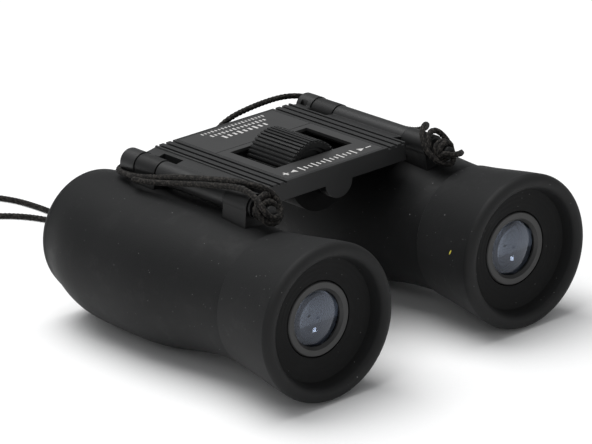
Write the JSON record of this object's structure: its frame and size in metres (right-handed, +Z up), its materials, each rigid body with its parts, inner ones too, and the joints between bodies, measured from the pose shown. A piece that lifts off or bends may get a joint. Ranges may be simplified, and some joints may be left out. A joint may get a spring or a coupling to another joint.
{
  "type": "folding binoculars",
  "caption": "Compact folding roof-prism binoculars: two armoured barrels hinged to a flat bridge with a ribbed deck and focus roller, and a neck cord.",
  "frame": {"origin": "middle of the footprint of the binoculars without the neck strap, on the surface they rest on", "axes": "+X across the eyes to the right barrel, +Y from the eyecups to the objectives, +Z up"},
  "size_m": [0.1002, 0.1875, 0.0467],
  "materials": {
    "armour_rubber": "soft-touch black rubber",
    "eyecup_rubber": "moulded black rubber",
    "bridge_plastic": "fine textured black plastic",
    "deck_plate": "satin black plate",
    "barrel_plastic": "moulded black plastic",
    "screw_steel": "blackened steel",
    "pin_steel": "turned steel",
    "bush_brass": "turned brass",
    "wheel_plastic": "ribbed black",
    "inner_plastic": "matt black",
    "inner_metal": "black anodised",
    "lens_ring": "satin black",
    "optical_glass": "coated",
    "strap_cord": "black braid"
  },
  "bodies": {
    "bridge": {"bridge_frame": "bridge_plastic", "deck_plate_front": "deck_plate", "deck_plate_rear": "deck_plate", "bridge_bottom_cover": "bridge_plastic", "bridge_cover_screws": "screw_steel", "focus_bush": "bush_brass", "hinge_pin_front_left": "pin_steel", "hinge_pin_front_right": "pin_steel", "hinge_pin_rear_left": "pin_steel", "hinge_pin_rear_right": "pin_steel", "strap_knot_left": "strap_cord", "strap_knot_right": "strap_cord", "strap_run_left": "strap_cord", "strap_run_right": "strap_cord", "strap_coil": "strap_cord"},
    "focus_roller": {"focus_wheel": "wheel_plastic", "focus_wheel_cap": "wheel_plastic", "focus_screw": "pin_steel"},
    "focus_slider": {"focus_carriage": "inner_plastic", "focus_rod_left": "pin_steel", "focus_rod_right": "pin_steel"},
    "left_barrel": {"barrel_body_left": "barrel_plastic", "armour_left": "armour_rubber", "eyecup_left": "eyecup_rubber", "eyepiece_ring_left": "inner_plastic", "lens_tube_left": "inner_metal", "eye_lens_left": "optical_glass", "eye_lens_ring_left": "lens_ring", "field_lens_left": "optical_glass", "field_stop_left": "inner_metal", "prism_cage_left": "inner_plastic", "half_penta_prism_left": "optical_glass", "roof_prism_left": "optical_glass"},
    "right_barrel": {"barrel_body_right": "barrel_plastic", "armour_right": "armour_rubber", "prism_cage_right": "inner_plastic", "half_penta_prism_right": "optical_glass", "roof_prism_right": "optical_glass"},
    "right_diopter": {"eyecup_right": "eyecup_rubber", "diopter_ring_right": "inner_plastic"},
    "right_eyepiece": {"lens_tube_right": "inner_metal", "eye_lens_right": "optical_glass", "eye_lens_ring_right": "lens_ring", "field_lens_right": "optical_glass", "field_stop_right": "inner_metal"},
    "left_objective": {"objective_cell_left": "inner_metal", "objective_lens_left": "optical_glass", "objective_ring_left": "lens_ring", "focus_lever_left": "pin_steel"},
    "right_objective": {"objective_cell_right": "inner_metal", "objective_lens_right": "optical_glass", "objective_ring_right": "lens_ring", "focus_lever_right": "pin_steel"}
  },
  "joints": [
    {"name": "left_fold", "type": "hinge", "parent": "bridge", "child": "left_barrel", "pos_m": [-0.0278, 0.008, 0.0406], "axis": [0, -1, 0], "range_deg": [-13, 27]},
    {"name": "right_fold", "type": "hinge", "parent": "bridge", "child": "right_barrel", "pos_m": [0.0278, 0.008, 0.0406], "axis": [0, 1, 0], "range_deg": [-13, 27]},
    {"name": "focus_turn", "type": "hinge", "parent": "bridge", "child": "focus_roller", "pos_m": [0, 0.0034, 0.0388], "axis": [0, 1, 0], "range_deg": [-180, 180]},
    {"name": "focus_slide", "type": "slide", "parent": "bridge", "child": "focus_slider", "axis": [0, 1, 0], "range_m": [-0.0012, 0.0012]},
    {"name": "left_objective_slide", "type": "slide", "parent": "left_barrel", "child": "left_objective", "axis": [0, 1, 0], "range_m": [-0.00121, 0.00121]},
    {"name": "right_objective_slide", "type": "slide", "parent": "right_barrel", "child": "right_objective", "axis": [0, 1, 0], "range_m": [-0.00121, 0.00121]},
    {"name": "diopter_turn", "type": "hinge", "parent": "right_barrel", "child": "right_diopter", "pos_m": [0.0308, -0.03, 0.0198], "axis": [0, 1, 0], "range_deg": [-60, 60]},
    {"name": "diopter_slide", "type": "slide", "parent": "right_barrel", "child": "right_eyepiece", "axis": [0, 1, 0], "range_m": [-0.001, 0.001]}
  ],
  "couplings": [
    {"joint": "focus_turn", "follows": "focus_slide", "rad_per_m": 2615.4},
    {"joint": "left_objective_slide", "follows": "focus_slide", "ratio": 1},
    {"joint": "right_objective_slide", "follows": "focus_slide", "ratio": 1},
    {"joint": "diopter_slide", "follows": "diopter_turn", "m_per_rad": 0.00095397}
  ]
}
